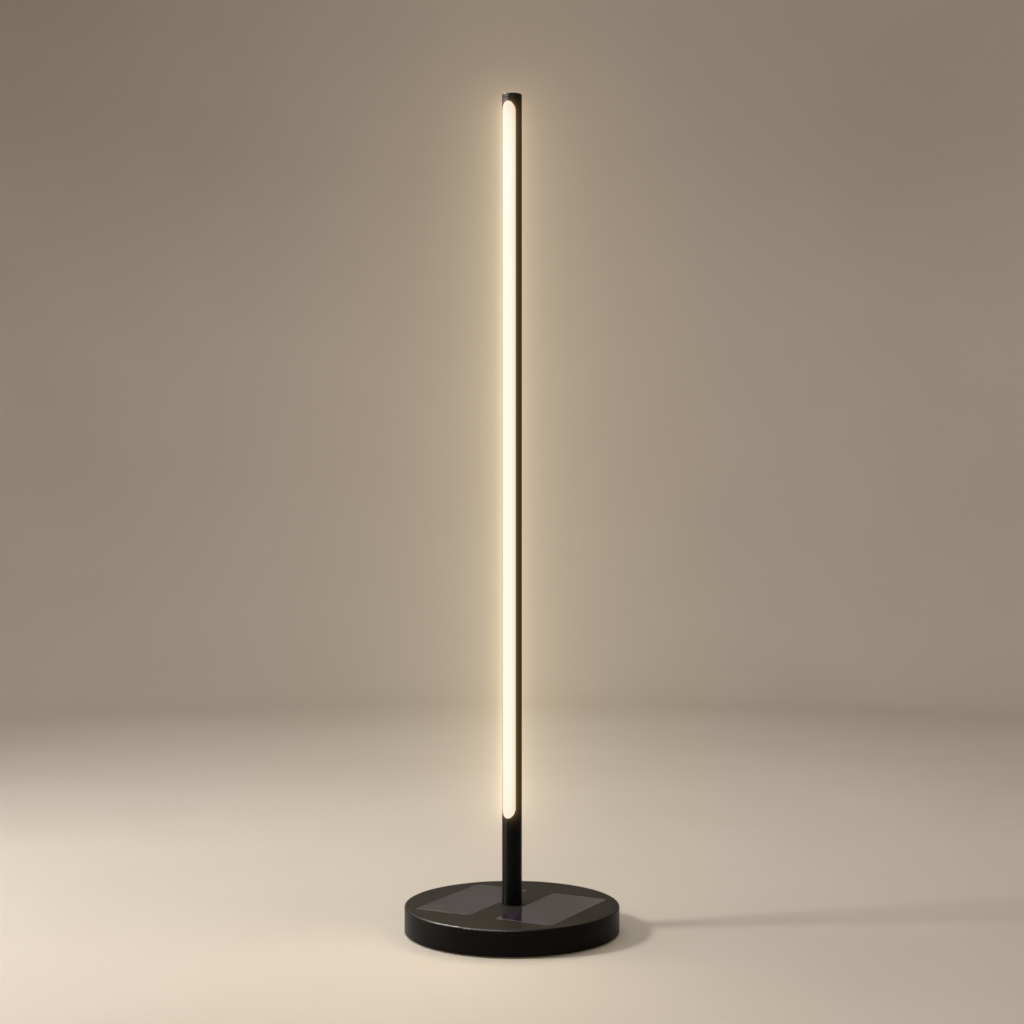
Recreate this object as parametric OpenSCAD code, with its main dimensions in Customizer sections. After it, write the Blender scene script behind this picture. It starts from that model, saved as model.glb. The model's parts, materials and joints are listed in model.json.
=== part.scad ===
// Solar outdoor floor lamp: a round weighted base with two solar panels let into its top, and a
// slim pole with a tall lens down its front that hides a strip of LEDs.
// The origin is on the floor under the pole's axis, +Z is up, and the lens faces -Y.

/* [Overall] */
// Height from the floor to the top of the pole
lamp_h = 1200; // [900:10:1600]

/* [Base housing] */
// Outer diameter of the round base
base_d = 308; // [292:2:380]
// Height of the housing, from its lower rim to its top
base_h = 37; // [36:1:50]
// Thickness of the side wall
side_wall = 3.2; // [2.6:0.1:5]
// Metal left under the panel pockets
pocket_floor_t = 1.5; // [1.2:0.1:2.4]
// Radius of the edge round the top
top_edge_r = 2.4; // [0.6:0.1:3]
// Radius of the edge round the lower rim
rim_edge_r = 1; // [0.5:0.1:2]
// Radius of the inner corner between the top and the side wall
inner_fillet_r = 2; // [1:0.2:3]
// Width of the ledge that the bottom plate's gasket presses on
ledge_w = 2.8; // [2:0.2:4]
// Height of that ledge
ledge_h = 3; // [2:0.5:5]
// Metal round the hub's bore
hub_wall = 12; // [8:0.5:14]
// Diameter of the bosses that the plate's screws go into
boss_d = 10; // [8:0.5:12]

/* [Bottom plate and feet] */
// Thickness of the steel bottom plate
plate_t = 2.5; // [2:0.1:3]
// Thickness of the gasket over the plate's rim
gasket_t = 1; // [0.6:0.1:1.6]
// Width of the gasket
gasket_w = 4.4; // [3:0.2:4.6]
// Number of screws, and of feet between them
fastener_count = 6; // [4:2:8]
// Thread diameter of the plate's screws
plate_screw_d = 4; // [3:0.5:5]
// Length of the plate's screws
plate_screw_l = 10; // [8:1:16]
// How far the rubber feet stand out below the housing
foot_proud = 2; // [1.5:0.5:5]
// Diameter of the rubber feet
foot_d = 16; // [12:1:20]
// Diameter of the stem that holds a foot in the plate
foot_stem_d = 5; // [4:0.5:6]

/* [Solar panels] */
// Width of each panel, across the base
panel_w = 87; // [60:1:90]
// Length of each panel
panel_l = 178; // [120:2:190]
// Distance from the pole's axis to the inner edge of a panel
panel_inset = 21; // [20:0.5:29]
// Gap between a panel and the sides of its pocket
panel_gap = 0.3; // [0.1:0.1:0.6]
// How far the glass lies below the base's top
glass_set = 0.05; // [0:0.05:0.3]
// Thickness of the cover glass
glass_t = 1; // [0.8:0.1:1.6]
// Thickness of the layer of solar cells
cell_layer_t = 0.25; // [0.2:0.05:0.4]
// Thickness of the panel's circuit board
panel_board_t = 0.8; // [0.6:0.1:1.2]
// Thickness of the sealing strip under the panel
seal_t = 0.4; // [0.3:0.1:0.8]
// Width of the sealing strip
seal_w = 6; // [4:0.5:10]
// Bare border of the board round the solar cells
cell_border = 2.5; // [2:0.5:8]
// Gap between neighbouring solar cells
cell_split = 0.8; // [0.4:0.1:2]
// Length of the tinned strip at the inner corner of each panel
tab_l = 9; // [5:0.5:20]
// Number of solar cells across the panel
cell_columns = 2; // [1:1:4]
// Number of solar cells along the panel
cell_rows = 6; // [2:1:10]
// Diameter of the hole for the panel's lead
panel_lead_hole_d = 5; // [4:0.5:8]

/* [Pole] */
// Outer diameter of the pole
tube_d = 28.5; // [25:0.5:32]
// Wall thickness of the pole
tube_wall = 1.6; // [1.2:0.1:2]
// Depth of the seat in the base's top that the pole stands in
tube_seat = 1.5; // [1:0.1:2]
// Clearance round the pole in that seat
seat_gap = 0.1; // [0.05:0.05:0.3]
// Width of the broken edges of the pole and of the cap, where the two meet
seam_edge = 0.4; // [0.2:0.1:0.8]

/* [Light slot] */
// Angle that the slot takes of the pole's round
slot_angle = 100; // [60:1:106]
// Height of the slot's lower tip above the base's top
slot_rise = 124.4; // [105:0.2:300]
// Plain tube between the slot's upper tip and the cap
slot_land = 5.4; // [5:0.1:40]
// Height of the slot's rounded ends
slot_end = 15.2; // [10:0.2:30]

/* [Lens and LED strip] */
// Thickness of the lens's inner shell
lens_t = 1.5; // [1:0.1:2]
// How far the lens's face lies below the pole's surface
lens_set = 0.2; // [0.05:0.05:0.6]
// Clearance round the lens in the slot and the tube
lens_gap = 0.15; // [0.1:0.05:0.3]
// How far the lens's shell runs on below the slot
lens_tail = 15; // [6:1:20]
// Distance from the pole's axis to the carrier's front face
carrier_front = 2.8; // [2:0.1:4]
// Wall thickness of the carrier
carrier_wall = 2; // [1.5:0.1:3]
// Width of the LED board
led_board_w = 10; // [8:0.5:12]
// Thickness of the LED board
led_board_t = 1; // [0.8:0.1:1.6]
// Spacing of the LEDs along the board
led_pitch = 16.5; // [10:0.5:30]
// Width of one LED
led_w = 2.8; // [2:0.1:3.5]
// Length of one LED
led_l = 3.5; // [2:0.1:5]
// Thickness of one LED
led_t = 0.7; // [0.5:0.1:1.5]

/* [Top cap] */
// Height of the cap's visible head
cap_head_h = 5.6; // [3:0.1:10]
// Radius of the edge round the cap's top
cap_edge_r = 0.5; // [0.3:0.1:1.5]
// Height of the plug that enters the tube
cap_plug_h = 3.4; // [3:0.1:4.2]
// Length of the leg that the cap's screw goes into
cap_leg_l = 14; // [12:1:24]
// Thickness of the cap's sealing ring
cap_seal_t = 1.4; // [1:0.1:1.6]

/* [Spigot] */
// Length of the spigot inside the tube
spigot_l = 45; // [38:1:60]
// Width of the shoulder that rests on the base
shoulder_w = 2.05; // [1.6:0.05:3]
// Clearance of the spigot in the tube and of its stem in the hub
spigot_gap = 0.1; // [0.05:0.05:0.15]
// Diameter of the bore for the wires
wire_bore = 10; // [7:0.5:10]
// Thickness of the sealing ring round the stem
stem_seal_t = 2; // [1.4:0.1:2.4]
// Thickness of the washer under the nut
washer_t = 1.5; // [1:0.1:2]
// Height of the nut
nut_h = 4; // [3:0.5:5]
// Thread diameter of the screws in the pole
set_screw_d = 4; // [3:0.5:5]
// Length of the screws in the pole
set_screw_l = 6; // [5:0.5:6.5]

/* [Battery] */
// Diameter of a battery cell
battery_d = 18.4; // [16:0.2:18.8]
// Length of a battery cell
battery_l = 65.2; // [50:0.2:72]
// Number of battery cells side by side
battery_count = 3; // [1:1:3]
// Free play round a battery cell
battery_gap = 0.6; // [0.2:0.1:1]
// Free height above the battery cells
battery_headroom = 0.9; // [0.5:0.1:2]
// Thickness of the tray under a battery cell
tray_floor_t = 1.2; // [1:0.1:2]
// Thickness of the tray's walls
tray_wall = 1.6; // [1.2:0.1:2.4]
// Height of the tray's walls
tray_h = 11; // [8:0.5:16]

/* [Circuit board] */
// Width of the board
board_w = 64; // [60:1:70]
// Depth of the board
board_l = 50; // [46:1:56]
// Thickness of the board
board_t = 1.6; // [1:0.1:2]
// Height of the standoffs under the board
standoff_h = 4.3; // [3:0.1:6]
// Diameter of the standoffs
standoff_d = 6; // [5:0.5:8]
// Thread diameter of the screws in the board and the battery tray
small_screw_d = 3; // [2:0.5:3.5]

/* [Rear controls] */
// Width of the recess in the back of the base
recess_w = 52; // [52:1:60]
// Height of the recess
recess_h = 18; // [17:0.5:20]
// Depth of the recess at its middle
recess_depth = 5; // [5:0.1:6]
// Thickness of the wall at the bottom of the recess
recess_wall = 3; // [2.6:0.1:4]
// Distance of the button and of the charging port from the recess's middle
control_spread = 14; // [13:0.5:14.5]
// Diameter of the power button
button_d = 12; // [8:0.5:12.5]
// How far the button stands out of the bottom of the recess
button_proud = 2.6; // [2:0.1:3]
// Travel of the button
button_travel = 1.2; // [0.6:0.1:1.4]
// Clearance round the button
button_gap = 0.08; // [0.05:0.01:0.1]
// Width of the charging port's socket
usb_w = 8.94; // [8:0.02:9.2]
// Height of the socket
usb_h = 3.26; // [3:0.02:3.6]
// Depth of the socket
usb_l = 7.3; // [6:0.1:9]
// Width of the hole for the charging plug
port_w = 13; // [12.4:0.1:13.5]
// Height of the hole for the charging plug
port_h = 7; // [6.6:0.1:7.4]
// Width of the port's door
door_w = 22; // [20:0.5:22]
// Thickness of the door
door_t = 1.8; // [1.4:0.1:2]
// Height from the door's lower edge to its hinge
door_drop = 13.2; // [12.8:0.1:14]
// Diameter of the hinge pin
door_pin_d = 1.5; // [1:0.1:1.6]
// Thickness of the door's rubber seal
door_seal_t = 1.1; // [0.8:0.1:1.4]
// Diameter of the charge light's lens
status_d = 3; // [2:0.5:4]
// Clearance round the charge light's lens
status_gap = 0.25; // [0.1:0.05:0.4]

/* [Hidden] */

$fn = 64;

// Colours
black_paint = [0.13, 0.12, 0.11];
dark_glass = [0.2, 0.18, 0.2];
cell_blue = [0.08, 0.08, 0.14];
backing_grey = [0.5, 0.48, 0.49];
board_green = [0.08, 0.3, 0.16];
opal = [1, 0.98, 0.88];
aluminium = [0.75, 0.76, 0.78];
iron = [0.3, 0.3, 0.31];
steel = [0.6, 0.6, 0.62];
brass = [0.8, 0.66, 0.3];
rubber_black = [0.06, 0.06, 0.06];
seal_grey = [0.35, 0.35, 0.36];
battery_wrap = [0.2, 0.45, 0.75];
white_plastic = [0.92, 0.92, 0.9];
lead_black = [0.1, 0.1, 0.1];

// Number of sides on the broad rounds of the base
broad = 180;
// Overlap of a cut past the face that it opens
cut = 1;
// Clearance of a screw in a tapped hole, and of a washer or a nut on its thread
thread_gap = 0.05;
// Clearance of a screw in a plain hole
screw_gap = 0.15;
// Clearance of a fitted plug or stem
fit_gap = 0.1;

// Levels, from the floor up
rim_z = foot_proud;
top_z = rim_z + base_h;
pocket_depth = seal_t + panel_board_t + cell_layer_t + glass_t + glass_set;
pocket_z = top_z - pocket_depth;
ceiling_z = pocket_z - pocket_floor_t;
plate_top_z = rim_z + plate_t;
gasket_top_z = plate_top_z + gasket_t;
tray_z = ceiling_z - battery_headroom - battery_d - tray_floor_t;
ballast_t = tray_z - plate_top_z;
seat_z = top_z - tube_seat;
board_z = tray_z + standoff_h;
board_top_z = board_z + board_t;
control_z = board_top_z + usb_h / 2;

// Base
base_r = base_d / 2;
inner_r = base_r - side_wall;
plate_gap = 0.2;
plate_r = inner_r - plate_gap;
gasket_r = plate_r;
fastener_inset = 10.8;
fastener_r = inner_r - fastener_inset;
ballast_clear = 3;
ballast_r = fastener_r - boss_d / 2 - ballast_clear;
screw_head_d = 1.9 * plate_screw_d;
screw_head_h = (screw_head_d - plate_screw_d) / 2;
foot_edge_r = 0.6;
foot_head_d = foot_stem_d + 2;
foot_head_h = 1.5;
boss_web_t = 3;
boss_web_z = gasket_top_z + ledge_h / 2;
root = pocket_floor_t / 2;

// Panels
left = -1;
right = 1;
panel_centre_x = panel_inset + panel_w / 2;
glass_w = panel_w - 2 * panel_gap;
glass_l = panel_l - 2 * panel_gap;
panel_corner_r = 1.5;
seal_z = pocket_z;
panel_board_z = seal_z + seal_t;
cell_layer_z = panel_board_z + panel_board_t;
glass_z = cell_layer_z + cell_layer_t;
tab_w = 0.8 * cell_border;

// Pole
tube_r = tube_d / 2;
tube_inner_r = tube_r - tube_wall;
tube_top_z = lamp_h - cap_head_h;
slot_half_w = tube_r * sin(slot_angle / 2);
slot_low_z = top_z + slot_rise;
slot_high_z = tube_top_z - slot_land;
slot_steps = 32;

// Spigot, with its stem through the hub and the ballast
spigot_r = tube_inner_r - spigot_gap;
stem_r = spigot_r - shoulder_w;
stem_bore_r = stem_r + spigot_gap;
hub_r = stem_r + hub_wall;
spigot_top_z = seat_z + spigot_l;
nut_lift = 0.8;
stem_low_z = plate_top_z + nut_lift / 2;
nut_z = plate_top_z + nut_lift;
washer_z = nut_z + nut_h;
nut_pocket_z = washer_z + washer_t;
washer_r = stem_r + 10;
nut_across = 3 * stem_r;
nut_pocket_r = washer_r + 0.5;
stem_groove_w = stem_seal_t + 0.4;
stem_groove_r = stem_bore_r - stem_seal_t;
stem_groove_z = ceiling_z - 3;
window_w = 8;
window_low_z = tray_z + 4;
window_high_z = window_low_z + 9;
set_screw_low_z = seat_z + 12;
set_screw_high_z = seat_z + 30;
screw_sunk = 0.2;

// Lens, carrier and LED strip
lens_shell_r = tube_inner_r - lens_gap;
lens_bore_r = lens_shell_r - lens_t;
lens_face_r = tube_r - lens_set;
lens_low_z = slot_low_z - lens_tail;
lens_edge_y = -carrier_front - lens_gap;
carrier_foot_h = 6;
carrier_tongue_h = 12;
carrier_z = spigot_top_z + carrier_foot_h;
cap_plug_z = tube_top_z - cap_plug_h;
end_gap = 0.2;
carrier_top_z = cap_plug_z - end_gap;
carrier_r = tube_inner_r - lens_gap;
cavity_r = carrier_r - carrier_wall;
cavity_front = carrier_wall - carrier_front;
tongue_r = cavity_r - fit_gap;
tongue_front = cavity_front + fit_gap;
led_board_low_z = slot_low_z - 4;
led_board_high_z = slot_high_z - 4;
led_end = 6;
led_count = floor((led_board_high_z - led_board_low_z - 2 * led_end) / led_pitch) + 1;
led_first_z = (led_board_low_z + led_board_high_z - (led_count - 1) * led_pitch) / 2;

// Cap
cap_plug_r = tube_inner_r - fit_gap;
cap_groove_w = cap_seal_t + 0.2;
cap_groove_r = tube_inner_r - cap_seal_t;
cap_seal_z = cap_plug_z + cap_plug_h / 2;
cap_screw_z = cap_plug_z - cap_leg_l / 2;

// Battery and its tray, in front of the hub
battery_pitch = battery_d + battery_gap;
tray_inner_l = battery_count * battery_pitch;
tray_w = battery_l + 2 * battery_gap + 2 * tray_wall;
tray_l = tray_inner_l + 2 * tray_wall;
tray_centre_y = -(hub_r + ballast_r) / 2;
tray_back_y = tray_centre_y + tray_l / 2;
tray_ear_w = 9;
tray_ear_t = 3;
tray_screw_x = tray_w / 2 + tray_ear_w / 2;
battery_nub_h = 1;
small_head_d = 1.85 * small_screw_d;
small_head_h = 0.55 * small_screw_d;
small_screw_grip = 4;

// Circuit board, behind the hub
recess_y = base_r - recess_depth;
recess_back_y = recess_y - recess_wall;
recess_corner_r = 5;
board_back_y = recess_back_y - 1.5;
board_front_y = board_back_y - board_l;
board_hole_x = board_w / 2 - 5;
board_hole_front_y = board_front_y + 6;
board_hole_back_y = board_front_y + 28;
usb_back_y = board_back_y + 1 - usb_l;
connector_l = 6;
connector_h = 4.4;
connector_y = board_front_y + 1;
connector_x = [-18, 0, 9, 18];

// Button and its switch
button_x = control_spread;
button_r = button_d / 2;
button_hole_r = button_r + button_gap;
button_lip_r = button_r + 1.3;
button_lip_t = 1;
button_lip_y = recess_back_y - fit_gap;
button_face_y = recess_y + button_proud;
button_stem_r = 2.5;
button_stem_l = 2.9;
button_stem_y = button_lip_y - button_lip_t - button_stem_l;
button_edge_r = 0.6;
button_seal_section = 1.2;
button_groove_w = button_seal_section + 0.2;
button_groove_r = button_hole_r - 0.02 - button_seal_section;
button_groove_y = recess_back_y + recess_wall / 2;
plunger_r = 1.3;
plunger_l = 7;
plunger_gap = 0.1;
switch_front_y = button_stem_y - button_travel - 0.8;
switch_l = 7.5;
switch_w = 7;
switch_h = usb_h + 0.8;
board_notch_w = 2 * button_lip_r + 2;
board_notch_y = switch_front_y + 0.3;

// Port and its door
port_x = -control_spread;
hinge_r = 1.4;
hinge_y = recess_y + hinge_r + 0.2;
hinge_z = control_z + 6.9;
hinge_play = 0.2;
door_inner_y = recess_y + 0.2;
door_corner_r = 1.5;
knuckle_w = 12;
lug_w = 2.4;
door_top_z = hinge_z - hinge_r - 0.35;
door_low_z = hinge_z - door_drop;
door_seal_w = port_w + 3;
door_seal_h = port_h + 2.4;
seal_pocket_w = door_seal_w + 1;
seal_pocket_h = door_seal_h + 1.4;
seal_pocket_y = door_inner_y - door_seal_t - 0.1;
pin_bore_gap = 0.05;

// Charge light
status_flange_t = 1;
status_flange_w = 0.8;
status_proud = 0.2;
status_low_y = recess_back_y - status_flange_t;

// Leads
lead_sides = 8;
lead_d = 2.4;
lead_steps = 3;
lead_board_y = connector_y - 0.1;
lead_board_z = board_top_z + connector_h / 2;
led_lead_end_y = -carrier_front - led_board_t - lead_d / 2;

// Round bar along X or Y, from the given start
module rod_x(r, l) rotate([0, 90, 0]) cylinder(r = r, h = l);
module rod_y(r, l) rotate([-90, 0, 0]) cylinder(r = r, h = l);

// Stretches an outline drawn in X and Z from one Y to another
module along_y(from_y, to_y)
    translate([0, to_y, 0]) rotate([90, 0, 0]) linear_extrude(to_y - from_y) children();

// Rectangle about the origin with round corners
module rounded_rect(w, h, r) {
    square([w - 2 * r, h], center = true);
    square([w, h - 2 * r], center = true);
    for (x = [-1, 1], y = [-1, 1])
        translate([x * (w / 2 - r), y * (h / 2 - r)]) circle(r);
}

// What a round edge of radius r leaves out of an outline's corner, for the corner at [x, y]
module corner_waste(x, y, r, sx, sy)
    difference() {
        translate([x - sx * r / 2 + sx * cut / 2, y - sy * r / 2 + sy * cut / 2])
            square(r + cut, center = true);
        translate([x - sx * r, y - sy * r]) circle(r);
    }

// Round ring of round section, with its outside at radius r
module ring_seal(r, section)
    rotate_extrude() translate([r - section / 2, 0]) circle(d = section, $fn = 24);

// Places its children at each plate screw, or halfway between them for the feet
module on_fastener_circle(turn)
    for (i = [0 : fastener_count - 1])
        rotate(360 / fastener_count * i + turn) translate([fastener_r, 0, 0]) children();
screw_turn = 0;
foot_turn = 180 / fastener_count;

// Places its children at the board's four screws
module on_board_holes()
    for (x = [-1, 1], y = [board_hole_front_y, board_hole_back_y])
        translate([x * board_hole_x, y, 0]) children();

// Places its children at the tray's two screws
module on_tray_holes()
    for (x = [-1, 1]) translate([x * tray_screw_x, tray_centre_y, 0]) children();

// Outline of the slot in X and Z, with elliptical ends
function slot_outline(half_w, low_z, high_z, rise) = concat(
    [for (i = [0 : slot_steps]) let (a = 180 * i / slot_steps)
        [half_w * cos(a), high_z - rise + rise * sin(a)]],
    [for (i = [0 : slot_steps]) let (a = 180 + 180 * i / slot_steps)
        [half_w * cos(a), low_z + rise + rise * sin(a)]]);

// Smooth curve through the given points
function spline_span(a, b, c, d, t) =
    (2 * b + (c - a) * t + (2 * a - 5 * b + 4 * c - d) * t ^ 2 + (3 * b - a - 3 * c + d) * t ^ 3) / 2;
function spline(points, steps) = let (last = len(points) - 1) concat(
    [for (i = [0 : last - 1], s = [0 : steps - 1])
        spline_span(points[max(i - 1, 0)], points[i], points[i + 1], points[min(i + 2, last)], s / steps)],
    [points[last]]);
function unit(v) = v / norm(v);

// Ring of points square to the curve, with its first point towards the side given
function lead_ring(centre, along, side, r) = let (
    u = unit(side - (side * along) * along),
    w = cross(along, u))
    [for (k = [0 : lead_sides - 1]) let (a = 360 * k / lead_sides)
        centre + r * (cos(a) * u + sin(a) * w)];

// Round lead along a smooth curve through the points. The side is square to most of the route.
module lead(points, side, d) {
    path = spline(points, lead_steps);
    last = len(path) - 1;
    rings = [for (i = [0 : last])
        lead_ring(path[i], unit(path[min(i + 1, last)] - path[max(i - 1, 0)]), side, d / 2)];
    first_end = [for (k = [0 : lead_sides - 1]) k];
    last_end = [for (k = [lead_sides - 1 : -1 : 0]) last * lead_sides + k];
    walls = [for (i = [0 : last - 1], k = [0 : lead_sides - 1]) let (
        a = i * lead_sides + k,
        b = i * lead_sides + (k + 1) % lead_sides,
        c = b + lead_sides,
        e = a + lead_sides)
        each [[a, e, c], [a, c, b]]];
    polyhedron([for (r = rings) each r], concat([first_end], walls, [last_end]));
}

// Countersunk screw that points up, with the top of its shank at height l
module countersunk_screw(d, l, head_d, head_h)
    difference() {
        union() {
            cylinder(d1 = head_d, d2 = d, h = head_h);
            cylinder(d = d, h = l);
        }
        translate([0, 0, -cut]) cylinder(d = 0.6 * d, h = cut + head_h * 0.7, $fn = 6);
    }

// Cheese-head screw that points down, with the underside of its head at zero
module cheese_head_screw(d, l, head_d, head_h)
    difference() {
        union() {
            cylinder(d = head_d, h = head_h);
            translate([0, 0, -l]) cylinder(d = d, h = l + head_h / 2);
        }
        translate([0, 0, head_h * 0.4]) cylinder(d = 0.5 * head_d, h = head_h, $fn = 6);
    }

// Set screw along Y, with its socket in the end at y = 0 and its point towards -Y
module set_screw(d, l)
    difference() {
        translate([0, -l, 0]) rod_y(d / 2, l);
        translate([0, -d / 2, 0]) rotate([-90, 0, 0]) cylinder(d = 0.55 * d, h = d, $fn = 6);
    }

// Outline of the housing from its axis to its rim
module housing_profile() {
    difference() {
        translate([0, rim_z]) square([base_r, base_h]);
        translate([-cut, rim_z - cut]) square([inner_r + cut, ceiling_z - rim_z + cut]);
        corner_waste(base_r, top_z, top_edge_r, 1, 1);
        corner_waste(base_r, rim_z, rim_edge_r, 1, -1);
    }
    translate([inner_r - ledge_w, gasket_top_z]) square([ledge_w + side_wall / 2, ledge_h]);
    difference() {
        translate([inner_r - inner_fillet_r, ceiling_z - inner_fillet_r])
            square(inner_fillet_r + side_wall / 2);
        translate([inner_r - inner_fillet_r, ceiling_z - inner_fillet_r]) circle(inner_fillet_r);
    }
}

// Bosses for the plate's screws, each joined to the side wall by a web
module screw_bosses()
    on_fastener_circle(screw_turn) {
        translate([0, 0, plate_top_z]) cylinder(d = boss_d, h = ceiling_z - plate_top_z + root);
        translate([0, -boss_web_t / 2, boss_web_z])
            cube([fastener_inset + side_wall / 2, boss_web_t, ceiling_z - boss_web_z + root]);
    }

// Thicker metal behind the recess
module recess_backing()
    intersection() {
        translate([-recess_w / 2 - side_wall, recess_back_y, control_z - recess_h / 2 - side_wall])
            cube([recess_w + 2 * side_wall, recess_depth + recess_wall,
                ceiling_z - control_z + recess_h / 2 + side_wall + top_edge_r]);
        translate([0, 0, rim_z]) cylinder(r = base_r - side_wall / 2, h = base_h, $fn = broad);
    }

// Ears for the door's pin
module hinge_lugs()
    for (side = [-1, 1])
        translate([port_x + side * (knuckle_w / 2 + hinge_play + lug_w / 2) - lug_w / 2, 0, 0])
            difference() {
                union() {
                    translate([0, hinge_y, hinge_z]) rod_x(hinge_r, lug_w);
                    translate([0, recess_y - recess_wall / 4, hinge_z - hinge_r])
                        cube([lug_w, hinge_y - recess_y + recess_wall / 4, 2 * hinge_r]);
                }
                translate([-cut, hinge_y, hinge_z]) rod_x(door_pin_d / 2, lug_w + 2 * cut);
            }

module panel_pocket(side)
    translate([side * panel_centre_x, 0, pocket_z]) {
        linear_extrude(pocket_depth + cut) rounded_rect(panel_w, panel_l, panel_corner_r + panel_gap);
        translate([0, 0, -pocket_floor_t - cut])
            cylinder(d = panel_lead_hole_d, h = pocket_floor_t + 2 * cut);
    }

module control_cuts() {
    along_y(recess_y, base_r + cut)
        translate([0, control_z]) rounded_rect(recess_w, recess_h, recess_corner_r);
    along_y(seal_pocket_y, recess_y + cut)
        translate([port_x, control_z]) rounded_rect(seal_pocket_w, seal_pocket_h, door_corner_r);
    along_y(recess_back_y - cut, recess_y + cut)
        translate([port_x, control_z]) rounded_rect(port_w, port_h, port_h * 0.45);
    translate([button_x, recess_back_y - cut, control_z]) rod_y(button_hole_r, recess_wall + 2 * cut);
    translate([0, recess_back_y - cut, control_z])
        rod_y(status_d / 2 + status_gap, recess_wall + 2 * cut);
}

module base_housing()
    color(black_paint) {
        difference() {
            union() {
                rotate_extrude($fn = broad) housing_profile();
                translate([0, 0, tray_z]) cylinder(r = hub_r, h = ceiling_z - tray_z + root);
                screw_bosses();
                recess_backing();
            }
            for (side = [left, right]) panel_pocket(side);
            translate([0, 0, seat_z]) cylinder(r = tube_r + seat_gap, h = tube_seat + cut);
            translate([0, 0, tray_z - cut]) cylinder(r = stem_bore_r, h = base_h);
            translate([-window_w / 2, 0, window_low_z])
                cube([window_w, hub_r + cut, window_high_z - window_low_z]);
            on_fastener_circle(screw_turn)
                translate([0, 0, plate_top_z - cut])
                    cylinder(r = plate_screw_d / 2 + thread_gap, h = plate_screw_l + 2 * cut);
            control_cuts();
        }
        hinge_lugs();
    }

module base_plate()
    color(steel) difference() {
        translate([0, 0, rim_z]) cylinder(r = plate_r, h = plate_t, $fn = broad);
        on_fastener_circle(screw_turn) translate([0, 0, rim_z]) {
            translate([0, 0, -cut]) cylinder(r = plate_screw_d / 2 + screw_gap, h = plate_t + 2 * cut);
            cylinder(d1 = screw_head_d + 2 * screw_gap, d2 = plate_screw_d + 2 * screw_gap,
                h = screw_head_h);
        }
        on_fastener_circle(foot_turn)
            translate([0, 0, rim_z - cut]) cylinder(r = foot_stem_d / 2 + fit_gap, h = plate_t + 2 * cut);
    }

module plate_gasket()
    color(rubber_black) translate([0, 0, plate_top_z]) difference() {
        cylinder(r = gasket_r, h = gasket_t, $fn = broad);
        translate([0, 0, -cut]) cylinder(r = gasket_r - gasket_w, h = gasket_t + 2 * cut, $fn = broad);
    }

module plate_screws()
    color(steel) on_fastener_circle(screw_turn)
        translate([0, 0, rim_z]) countersunk_screw(plate_screw_d, plate_screw_l, screw_head_d, screw_head_h);

// Foot pads on the plate's underside, each held by a stem with a broad head
module rubber_feet()
    color(rubber_black) on_fastener_circle(foot_turn) rotate_extrude() difference() {
        union() {
            square([foot_d / 2, foot_proud]);
            square([foot_stem_d / 2, plate_top_z + foot_head_h]);
            translate([0, plate_top_z]) square([foot_head_d / 2, foot_head_h]);
        }
        corner_waste(foot_d / 2, 0, foot_edge_r, 1, -1);
        corner_waste(foot_head_d / 2, plate_top_z + foot_head_h, foot_edge_r, 1, 1);
    }

module ballast()
    color(iron) difference() {
        rotate_extrude($fn = broad) difference() {
            translate([0, plate_top_z]) square([ballast_r, ballast_t]);
            corner_waste(ballast_r, tray_z, foot_edge_r, 1, 1);
        }
        translate([0, 0, plate_top_z - cut]) cylinder(r = stem_bore_r, h = ballast_t + 2 * cut);
        translate([0, 0, plate_top_z - cut]) cylinder(r = nut_pocket_r, h = nut_pocket_z - plate_top_z + cut);
        on_board_holes() small_screw_hole();
        on_tray_holes() small_screw_hole();
    }

module small_screw_hole()
    translate([0, 0, tray_z - small_screw_grip - cut])
        cylinder(r = small_screw_d / 2 + thread_gap, h = small_screw_grip + 2 * cut);

// What the broken edges at the seam between the pole and the cap take away
module seam_cut()
    rotate_extrude() polygon([[tube_r - seam_edge, tube_top_z],
        [tube_r + cut, tube_top_z + seam_edge + cut], [tube_r + cut, tube_top_z - seam_edge - cut]]);

module pole_tube()
    color(black_paint) difference() {
        translate([0, 0, seat_z]) cylinder(r = tube_r, h = tube_top_z - seat_z);
        seam_cut();
        translate([0, 0, seat_z - cut]) cylinder(r = tube_inner_r, h = lamp_h);
        along_y(-tube_d, 0) polygon(slot_outline(slot_half_w, slot_low_z, slot_high_z, slot_end));
        for (z = [set_screw_low_z, set_screw_high_z, cap_screw_z])
            translate([0, 0, z]) rod_y(set_screw_d / 2 + screw_gap, tube_d);
    }

module pole_spigot()
    color(aluminium) difference() {
        union() {
            translate([0, 0, seat_z]) cylinder(r = spigot_r, h = spigot_l);
            translate([0, 0, stem_low_z]) cylinder(r = stem_r, h = seat_z - stem_low_z + cut);
        }
        translate([0, 0, window_low_z]) cylinder(d = wire_bore, h = lamp_h);
        translate([-window_w / 2, 0, window_low_z])
            cube([window_w, tube_d, window_high_z - window_low_z]);
        translate([0, 0, stem_groove_z - stem_groove_w / 2]) difference() {
            cylinder(r = stem_r + cut, h = stem_groove_w);
            translate([0, 0, -cut]) cylinder(r = stem_groove_r, h = stem_groove_w + 2 * cut);
        }
        for (z = [set_screw_low_z, set_screw_high_z])
            translate([0, 0, z]) rod_y(set_screw_d / 2 + thread_gap, tube_d);
    }

module spigot_seal()
    color(rubber_black) translate([0, 0, stem_groove_z]) ring_seal(stem_bore_r, stem_seal_t);

module spigot_washer()
    color(steel) translate([0, 0, washer_z]) difference() {
        cylinder(r = washer_r, h = washer_t);
        translate([0, 0, -cut]) cylinder(r = stem_bore_r, h = washer_t + 2 * cut);
    }

module spigot_nut()
    color(steel) translate([0, 0, nut_z]) difference() {
        cylinder(d = nut_across / cos(30), h = nut_h, $fn = 6);
        translate([0, 0, -cut]) cylinder(r = stem_r + thread_gap, h = nut_h + 2 * cut);
    }

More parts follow.
